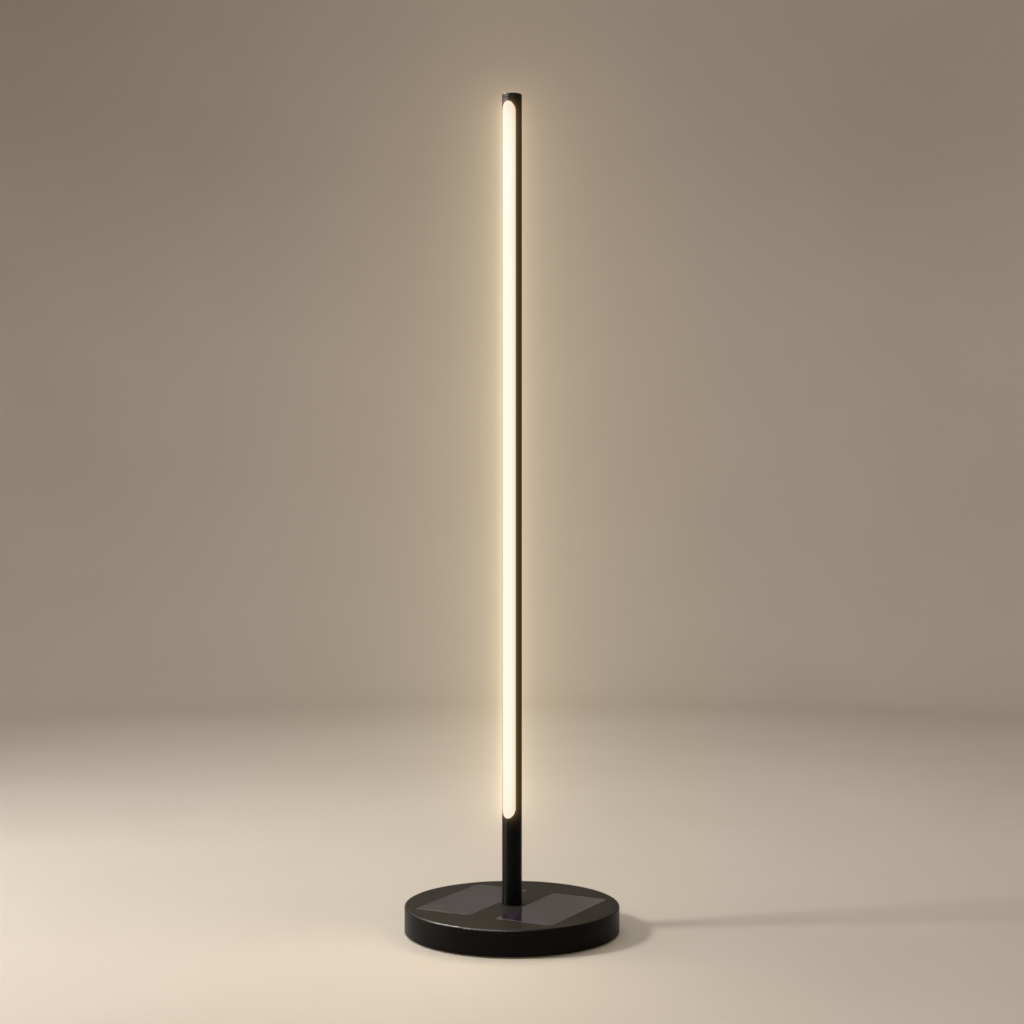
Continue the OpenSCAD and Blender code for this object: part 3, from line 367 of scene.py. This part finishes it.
def solar_cells():
    """Near-black silicon with a trace of violet, soft clouds, and fine silver lines."""
    silicon = linear(21, 19, 22)
    silver = linear(96, 94, 98)
    surface = Surface("solar_cells", silicon, 0.34, Specular_IOR_Level=0.1)
    clouds = surface.noise(15 * MM, detail=5.0, rough=0.62)
    crystal = surface.grains(5 * MM, output="Color")
    tone = surface.ramp(clouds, (0.3, linear(18, 17, 20)), (0.7, linear(25, 23, 27)))
    plate = surface.mixed(0.12, tone, crystal, "OVERLAY")
    x, y, _ = surface.axes()
    fingers = surface.lines(y, finger_pitch, finger_width)
    ribbons = surface.lines(x, ribbon_pitch, ribbon_width)
    printed = surface.maths("MAXIMUM", surface.maths("MULTIPLY", fingers, finger_cover), ribbons)
    cover = surface.maths("MULTIPLY", printed, silver_cover)
    surface.feed("Base Color", surface.mixed(cover, plate, silver))
    surface.feed("Roughness", surface.between(clouds, 0.28, 0.42))
    surface.bump(printed, 0.03 * MM, 0.5)
    return surface.material


def circuit_board():
    """Solder mask over copper tracks, which show as slightly raised, lighter patches."""
    mask = linear(24, 84, 52)
    covered_track = linear(46, 112, 72)
    surface = Surface("circuit_board", mask, 0.38)
    tracks = surface.grains(4 * MM, place=surface.stretched(1.0, 0.35, 1.0))
    raised = surface.ramp(tracks, (0.32, grey(1.0)), (0.4, grey(0.0)))
    surface.feed("Base Color", surface.mixed(raised, mask, covered_track))
    surface.feed("Roughness", surface.between(surface.noise(3 * MM), 0.32, 0.46))
    surface.bump(raised, 0.035 * MM, 0.5)
    return surface.material


def shrink_wrap():
    """Heat-shrunk sleeve: glossy, with faint creases round the cells."""
    colour = linear(58, 104, 150)
    surface = Surface("battery_wrap", colour, 0.26)
    wear(surface, 0.03, 0.08, 0.26, 0.05)
    creases = surface.noise(6 * MM, detail=3.0, place=surface.stretched(0.3, 1.0, 1.0))
    surface.bump(creases, 0.15 * MM, 0.3)
    return surface.material


def charge_light():
    """Clear light pipe of the charge light, unlit, with a slight green tint."""
    colour = linear(186, 204, 188)
    surface = Surface("charge_light", colour, 0.2, Transmission_Weight=0.5, IOR=1.49)
    surface.feed("Roughness", surface.between(surface.noise(1.5 * MM), 0.14, 0.3))
    surface.bump(surface.noise(0.8 * MM, detail=1.0), 0.01 * MM, 0.3)
    return surface.material


def sealant():
    """Black silicone with a skin that dried slightly uneven."""
    surface = Surface("sealant", linear(26, 25, 25), 0.5)
    surface.feed("Roughness", surface.between(surface.noise(3 * MM, detail=3.0), 0.4, 0.62))
    surface.bump(surface.noise(2 * MM), 0.05 * MM, 0.5)
    return surface.material


finishes = {
    "housing_paint": powder_coat(),
    "zinc_steel": zinc_plate(),
    "screw_steel": turned_metal("screw_steel", linear(150, 149, 150), 0.34, (1.0, 1.0, 0.2)),
    "black_rubber": rubber("black_rubber", linear(27, 26, 26)),
    "ballast_iron": cast_iron(),
    "bare_aluminium": turned_metal("bare_aluminium", linear(205, 206, 209), 0.3, (1.0, 1.0, 0.02)),
    "opal_lens": lit_lens(),
    "white_board": moulded("white_board", linear(228, 228, 222), 0.35, grain=1.5 * MM),
    "led_phosphor": moulded("led_phosphor", linear(250, 214, 120), 0.3, grain=0.2 * MM),
    "white_plastic": moulded("white_plastic", linear(222, 221, 216), 0.5),
    "panel_glass": cover_glass(),
    "solar_cells": solar_cells(),
    "circuit_board": circuit_board(),
    "panel_backing": moulded("panel_backing", linear(38, 36, 40), 0.5, grain=1.2 * MM,
                             Specular_IOR_Level=0.1),
    "tinned_copper": turned_metal("tinned_copper", linear(212, 212, 212), 0.28, (0.2, 1.0, 1.0)),
    "grey_seal": rubber("grey_seal", linear(118, 118, 120), 0.7),
    "black_lead": rubber("black_lead", linear(34, 33, 33), 0.55),
    "red_lead": rubber("red_lead", linear(156, 34, 28), 0.5),
    "battery_wrap": shrink_wrap(),
    "standoff_brass": turned_metal("standoff_brass", linear(214, 178, 96), 0.3, (0.3, 0.3, 1.0)),
    "board_parts": moulded("board_parts", linear(38, 38, 40), 0.5, grain=0.25 * MM),
    "switch_plastic": moulded("switch_plastic", linear(30, 30, 31), 0.55),
    "button_plastic": moulded("button_plastic", linear(34, 31, 29), 0.48),
    "status_lens": charge_light(),
}
for part in frame["record"]["subparts"]:
    surfaces = nodes[part["node"]].data.materials
    surfaces.clear()
    surfaces.append(finishes[part["material_slot"]])


glass_corner_r = 1.5 * MM
corner_steps = 6
glass_chamfer = 0.2 * MM
# How far the glass runs on into the layer that bonds it to the cells.
glass_bond = 0.05 * MM
# A face of the glass is a flat one if the upright share of its normal is more than this.
flat_face = 0.99
sealant_gap = 0.3 * MM
sealant_dip = 0.15 * MM


def rounded_outline(low, high, grow=0.0):
    """The glass's outline between two corners of its box, grown outwards, as x, y points."""
    radius = glass_corner_r
    arc = radius + grow
    centres = [
        (high.x - radius, high.y - radius, 0),
        (low.x + radius, high.y - radius, 90),
        (low.x + radius, low.y + radius, 180),
        (high.x - radius, low.y + radius, 270),
    ]
    points = []
    for x, y, start in centres:
        for step in range(corner_steps + 1):
            angle = math.radians(start + 90 * step / corner_steps)
            points.append((x + arc * math.cos(angle), y + arc * math.sin(angle)))
    return points


def stacked_rings(name, rings, closed_ends):
    """Mesh through rings of equal length. Its ends are capped, or it closes on itself."""
    mesh = bpy.data.meshes.new(name)
    build = bmesh.new()
    made = [[build.verts.new(point) for point in ring] for ring in rings]
    pairs = list(zip(made, made[1:]))
    if closed_ends:
        build.faces.new(list(reversed(made[0])))
        build.faces.new(made[-1])
    else:
        pairs.append((made[-1], made[0]))
    count = len(made[0])
    for below, above in pairs:
        for index in range(count):
            following = (index + 1) % count
            build.faces.new((below[index], below[following], above[following], above[index]))
    bmesh.ops.recalc_face_normals(build, faces=build.faces)
    build.to_mesh(mesh)
    build.free()
    piece = bpy.data.objects.new(name, mesh)
    bpy.context.scene.collection.objects.link(piece)
    return piece


def ground_glass(name, node, edge_finish):
    """The cover glass of one panel, with its four upper edges ground off."""
    low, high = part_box(node)
    shoulder = high.z - glass_chamfer
    full = rounded_outline(low, high)
    ground = rounded_outline(low, high, grow=-glass_chamfer)
    rings = [
        [(x, y, low.z - glass_bond) for x, y in full],
        [(x, y, shoulder) for x, y in full],
        [(x, y, high.z) for x, y in ground],
    ]
    piece = stacked_rings(name, rings, closed_ends=True)
    piece.data.materials.append(finishes["panel_glass"])
    piece.data.materials.append(edge_finish)
    for face in piece.data.polygons:
        face.material_index = 0 if abs(face.normal.z) > flat_face else 1
    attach(piece, "lamp")
    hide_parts(node)


def sealant_bead(name, node, finish):
    """The line of sealant between one panel's glass and its pocket, with a hollow upper face."""
    low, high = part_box(node)
    profile = [
        (0.0, low.z),
        (sealant_gap, low.z),
        (sealant_gap, high.z - sealant_dip / 2),
        (sealant_gap / 2, high.z - sealant_dip - glass_chamfer),
        (0.0, high.z - glass_chamfer),
    ]
    rings = []
    for grow, z in profile:
        outline = rounded_outline(low, high, grow=grow)
        rings.append([(x, y, z) for x, y in outline])
    piece = stacked_rings(name, rings, closed_ends=False)
    piece.data.materials.append(finish)
    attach(piece, "lamp")


silicone = sealant()
ground_edge = frosted_edge()
for side in ("left", "right"):
    ground_glass(f"{side}_cover_glass", f"{side}_panel_glass", ground_edge)
    sealant_bead(f"{side}_sealant_bead", f"{side}_panel_glass", silicone)


# A pale floor that runs up into a plain wall all round, so that every side has the same ground.
# The innermost ring of the floor is as good as a point.
floor_rings = (0.1 * MM, 0.5, 1.5)
studio_floor_r = 2.9
studio_cove_r = 0.7
studio_wall_top = 3.2
studio_segments = 128
cove_steps = 12


def studio_paper():
    """Fully matt paper with slow clouds and a fine tooth, whose tone turns slightly pinker up the
    wall."""
    surface = Surface("studio_paper", linear(214, 208, 200), 0.5, Specular_IOR_Level=0.0)
    slow = surface.noise(0.9, detail=4.0, rough=0.55)
    floor_tone = surface.ramp(slow, (0.3, linear(202, 195, 185)), (0.7, linear(210, 204, 195)))
    wall_tone = surface.ramp(slow, (0.3, linear(202, 193, 186)), (0.7, linear(209, 200, 193)))
    _, _, height = surface.axes()
    up_the_wall = surface.between(height, 0.0, 1.0, 0.0, studio_cove_r)
    surface.feed("Base Color", surface.mixed(up_the_wall, floor_tone, wall_tone))
    surface.feed("Roughness", surface.between(surface.noise(0.2, detail=3.0), 0.42, 0.52))
    surface.bump(surface.noise(4 * MM, detail=3.0), 0.1 * MM, 0.25)
    return surface.material


def studio_profile():
    """The radius and height of each ring, from the middle of the floor to the wall's top."""
    profile = [(radius, 0.0) for radius in (*floor_rings, studio_floor_r)]
    for step in range(1, cove_steps + 1):
        angle = math.radians(90 * step / cove_steps)
        radius = studio_floor_r + studio_cove_r * math.sin(angle)
        profile.append((radius, studio_cove_r * (1 - math.cos(angle))))
    profile.append((studio_floor_r + studio_cove_r, studio_wall_top))
    return profile


def studio():
    """The floor, cove and wall as one smooth sheet."""
    build = bmesh.new()
    rings = []
    for radius, z in studio_profile():
        ring = []
        for index in range(studio_segments):
            turn = 2 * math.pi * index / studio_segments
            ring.append(build.verts.new((radius * math.cos(turn), radius * math.sin(turn), z)))
        rings.append(ring)
    build.faces.new(rings[0])
    for inner, outer in zip(rings, rings[1:]):
        for index in range(studio_segments):
            following = (index + 1) % studio_segments
            build.faces.new((inner[index], outer[index], outer[following], inner[following]))
    for face in build.faces:
        face.smooth = True
    mesh = bpy.data.meshes.new("studio_floor")
    build.to_mesh(mesh)
    build.free()
    mesh.materials.append(studio_paper())
    floor = bpy.data.objects.new("studio_floor", mesh)
    bpy.context.scene.collection.objects.link(floor)


studio()

daylight = linear(255, 250, 243)
lamplight = linear(255, 222, 186)


def spot(azimuth, distance, height):
    """A point round the lamp. Azimuth 0 is in front, and it grows towards the lamp's right."""
    turn = math.radians(azimuth)
    return Vector((math.sin(turn) * distance, -math.cos(turn) * distance, height))


def softbox(name, place, aim, size, radiance, colour=daylight, unseen=False, glint=False):
    """A rectangular soft light of one radiance, whatever its size. An unseen one only lights, and
    a glint only shines back from glossy surfaces."""
    width, length = size
    light = bpy.data.lights.new(name, "AREA")
    light.shape = "RECTANGLE"
    light.size = width
    light.size_y = length
    light.energy = radiance * 4 * width * length
    light.color = colour[:3]
    box = bpy.data.objects.new(name, light)
    box.location = place
    box.rotation_euler = (aim - place).to_track_quat("-Z", "Y").to_euler()
    box.visible_camera = False
    box.visible_glossy = not unseen
    box.visible_diffuse = not glint
    bpy.context.scene.collection.objects.link(box)


# What the lights are aimed at, and where they stand.
base_centre = Vector((0.0, 0.0, 0.0))
pole_foot = Vector((0.0, 0.0, 0.15))
upper_pole = Vector((0.0, 0.0, 1.0))
key_place = spot(camera_azimuth - 80, 1.9, 1.65)
left_place = spot(camera_azimuth - 90, 1.9, 1.0)
left_size = (0.7, 1.5)
right_place = spot(camera_azimuth + 112, 2.2, 1.2)
overhead_place = spot(camera_azimuth + 180, 0.9, 2.7)
softbox("key", key_place, base_centre, (0.35, 0.35), 70.0)
softbox("left_fill", left_place, upper_pole, left_size, 2.4)
softbox("right_fill", right_place, upper_pole, (0.5, 1.4), 0.25)
softbox("overhead", overhead_place, base_centre, (2.2, 2.2), 1.2)

# Lights for the gloss alone: the bright spot on the cap, the band down the pole, the brighter left
# side of the pole's foot, and the line of light along the base's front edge with its weaker run
# towards the right.
cap_place = spot(camera_azimuth - 56, 1.9, 1.65)
low_place = spot(camera_azimuth - 82, 0.55, 0.2)
edge_place = spot(camera_azimuth - 120, 1.8, 2.46)
run_place = spot(camera_azimuth - 40, 1.2, 3.0)
softbox("cap_glint", cap_place, upper_pole, (0.15, 0.15), 360.0, glint=True)
softbox("pole_glint", left_place, upper_pole, left_size, 3.4, glint=True)
softbox("low_glint", low_place, pole_foot, (0.2, 0.4), 6.0, glint=True)
softbox("edge_glint", edge_place, base_centre, (0.9, 0.4), 450.0, glint=True)
softbox("edge_run", run_place, base_centre, (3.6, 0.4), 100.0, glint=True)

# What the lit lens throws on the floor before it: a strip nearly as wide as the slot, close in
# front of it and a little short of both tips. It is unseen, because the lens itself shows.
throw_gap = 4 * MM
throw_width = 20 * MM
throw_short_of_tip = 10 * MM
lens_low, lens_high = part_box("lens")
throw_place = Vector((0.0, lens_low.y - throw_gap, (lens_low.z + lens_high.z) / 2))
throw_aim = throw_place - Vector((0.0, 1.0, 0.0))
throw_size = (throw_width, lens_high.z - lens_low.z - 2 * throw_short_of_tip)
softbox("lens_throw", throw_place, throw_aim, throw_size, 22.0, lamplight, unseen=True)

air_colour = linear(236, 232, 226)
air_strength = 0.25
world = bpy.data.worlds.new("studio_air")
world.use_nodes = True
air = world.node_tree.nodes["Background"]
air.inputs["Color"].default_value = air_colour
air.inputs["Strength"].default_value = air_strength
bpy.context.scene.world = world

camera = bpy.data.cameras.new("camera")
camera.lens = camera_lens
camera.sensor_width = camera_sensor
camera_object = bpy.data.objects.new("camera", camera)
camera_object.location = spot(camera_azimuth, camera_distance, camera_height)
camera_object.rotation_euler = (math.radians(90), 0.0, math.radians(camera_azimuth))
bpy.context.scene.collection.objects.link(camera_object)
bpy.context.scene.camera = camera_object
bpy.context.scene.view_settings.view_transform = "Standard"

# The picture is developed with two glows that spread from the lit lens: a tight one over all of
# it, which the floor and the wall show less of, and a wide one that only those two show. Each has
# its spread, its falloff and its tint.
tight_glow = (0.03, 1.0, (0.42, 0.3, 0.15, 1.0))
wide_glow = (0.5, 0.48, (1.37, 1.11, 0.75, 1.0))
tight_glow_lost_on_ground = grey(0.6)

layer = bpy.context.view_layer
layer.use_pass_emit = True
layer.use_pass_cryptomatte_object = True
bpy.context.scene.use_nodes = True
develop = bpy.context.scene.node_tree
develop.nodes.clear()
taken = develop.nodes.new("CompositorNodeRLayers")


def blended(kind, first, second):
    """Two pictures, or a picture and one colour, blended over the whole frame."""
    node = develop.nodes.new("CompositorNodeMixRGB")
    node.blend_type = kind
    develop.links.new(first, node.inputs[1])
    if isinstance(second, tuple):
        node.inputs[2].default_value = second
    else:
        develop.links.new(second, node.inputs[2])
    return node.outputs["Image"]


def glow(spread, falloff, tint):
    """What the lit lens spreads round itself, in the given colour. A falloff below 1 flattens the
    peak next to the lens."""
    bloom = develop.nodes.new("CompositorNodeGlare")
    bloom.glare_type = "BLOOM"
    bloom.quality = "HIGH"
    bloom.inputs["Threshold"].default_value = 0.0
    bloom.inputs["Strength"].default_value = 1.0
    bloom.inputs["Size"].default_value = spread
    develop.links.new(taken.outputs["Emit"], bloom.inputs["Image"])
    flattened = develop.nodes.new("CompositorNodeGamma")
    flattened.inputs["Gamma"].default_value = falloff
    develop.links.new(bloom.outputs["Glare"], flattened.inputs["Image"])
    return blended("MULTIPLY", flattened.outputs["Image"], tint)


ground = develop.nodes.new("CompositorNodeCryptomatteV2")
ground.matte_id = "studio_floor"
develop.links.new(taken.outputs["Image"], ground.inputs["Image"])
on_the_ground = ground.outputs["Matte"]
wide = blended("MULTIPLY", glow(*wide_glow), on_the_ground)
picture = blended("ADD", taken.outputs["Image"], wide)
tight = glow(*tight_glow)
lost_share = blended("MULTIPLY", on_the_ground, tight_glow_lost_on_ground)
tight = blended("SUBTRACT", tight, blended("MULTIPLY", tight, lost_share))
picture = blended("SCREEN", picture, tight)
shown = develop.nodes.new("CompositorNodeComposite")
develop.links.new(picture, shown.inputs["Image"])
